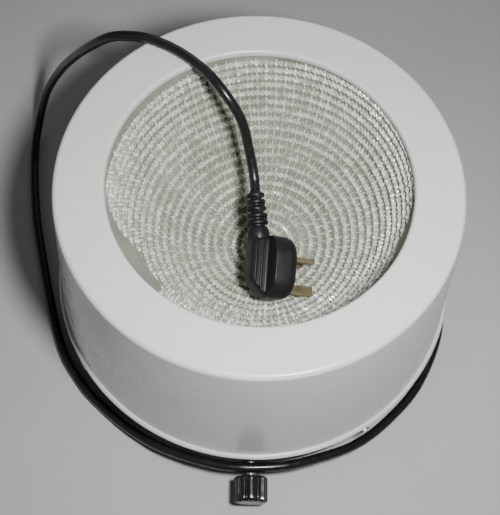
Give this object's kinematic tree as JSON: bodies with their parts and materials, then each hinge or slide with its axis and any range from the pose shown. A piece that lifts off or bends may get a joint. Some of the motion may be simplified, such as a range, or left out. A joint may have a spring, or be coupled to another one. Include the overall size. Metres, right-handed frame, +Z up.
{
  "type": "laboratory heating mantle",
  "caption": "Round electric heating mantle: white flared housing, knitted glass-fibre bowl for a round-bottom flask, black base, front control knob and mains lead with plug.",
  "frame": {"origin": "centre of the circle of feet, on the bench", "axes": "+Z up along the bowl axis, the control knob at the front on -Y, the cord gland at the rear on +Y"},
  "size_m": [0.4069, 0.4505, 0.2188],
  "materials": {
    "white_enamel": "gloss stove enamel",
    "black_enamel": "satin black enamel",
    "plated_steel": "zinc plated",
    "bare_aluminium": "spun, bare",
    "glass_knit": "knitted glass fibre yarn",
    "glass_cloth": "woven glass cloth",
    "glass_wool": "needled glass wool",
    "element_sleeve": "resistance wire in braided glass sleeve",
    "insulation_board": "calcium silicate board, matt",
    "black_rubber": "matt",
    "grey_rubber": "matt",
    "knob_plastic": "gloss phenolic",
    "brown_phenolic": "moulded phenolic",
    "laminate_board": "paper laminate",
    "cam_nylon": "nylon",
    "bright_brass": "turned",
    "bimetal": "rolled strip",
    "amber_lens": "clear amber",
    "black_plastic": "moulded nylon",
    "lamp_glass": "clear",
    "wire_pvc": "PVC insulation",
    "earth_pvc": "green and yellow PVC",
    "cord_pvc": "smooth PVC sheath",
    "plug_pvc": "moulded PVC, satin",
    "pin_brass": "dull brass",
    "fuse_ceramic": "ceramic barrel"
  },
  "bodies": {
    "root": {"housing_shell": "white_enamel", "case_brackets": "plated_steel", "rim_insulation_ring": "insulation_board", "base_gasket": "grey_rubber", "base_tray": "black_enamel", "base_screws": "plated_steel", "rubber_feet": "black_rubber", "foot_screws": "plated_steel", "foot_nuts": "plated_steel", "nest_fabric": "glass_knit", "element_upper": "element_sleeve", "element_lower": "element_sleeve", "backing_cloth": "glass_cloth", "insulation_blanket": "glass_wool", "reflector_bowl": "bare_aluminium", "bowl_support_ring": "plated_steel", "heat_shield_plate": "plated_steel", "shield_pillars": "plated_steel", "pillar_screws": "plated_steel", "regulator_case": "brown_phenolic", "regulator_cover": "laminate_board", "regulator_bracket": "plated_steel", "bracket_screws": "plated_steel", "bush_nut": "plated_steel", "regulator_bimetal": "bimetal", "regulator_contacts": "bright_brass", "regulator_terminals": "plated_steel", "shaft_seal": "black_rubber", "indicator_lens": "amber_lens", "indicator_bezel": "black_plastic", "indicator_lamp": "lamp_glass", "terminal_block": "cam_nylon", "terminal_screws": "bright_brass", "element_leads": "element_sleeve", "supply_wires": "wire_pvc", "lamp_wires": "wire_pvc", "thermal_fuse": "plated_steel", "earth_stud": "bright_brass", "earth_nut": "bright_brass", "earth_wire": "earth_pvc", "gland_body": "black_plastic", "gland_locknut": "black_plastic", "gland_boot": "black_rubber", "cord_clamp": "cam_nylon", "clamp_screws": "plated_steel", "mains_cord": "cord_pvc", "plug_boot": "plug_pvc", "plug_body": "plug_pvc", "live_pin": "pin_brass", "neutral_pin": "pin_brass", "earth_pin": "pin_brass"},
    "knob": {"knob_body": "knob_plastic", "knob_insert": "bright_brass", "knob_cap": "knob_plastic", "knob_grub_screw": "plated_steel", "regulator_shaft": "plated_steel", "regulator_cam": "cam_nylon"},
    "fuse_holder": {"fuse_carrier": "plug_pvc", "plug_fuse": "fuse_ceramic"}
  },
  "joints": [
    {"name": "knob_turn", "type": "hinge", "parent": "root", "child": "knob", "pos_m": [0, -0.1815, 0.027], "axis": [0, 1, 0], "range_deg": [0, 300]},
    {"name": "fuse_pull", "type": "slide", "parent": "root", "child": "fuse_holder", "axis": [0.931, 0.0483, -0.3618], "range_m": [0, 0.01]}
  ]
}
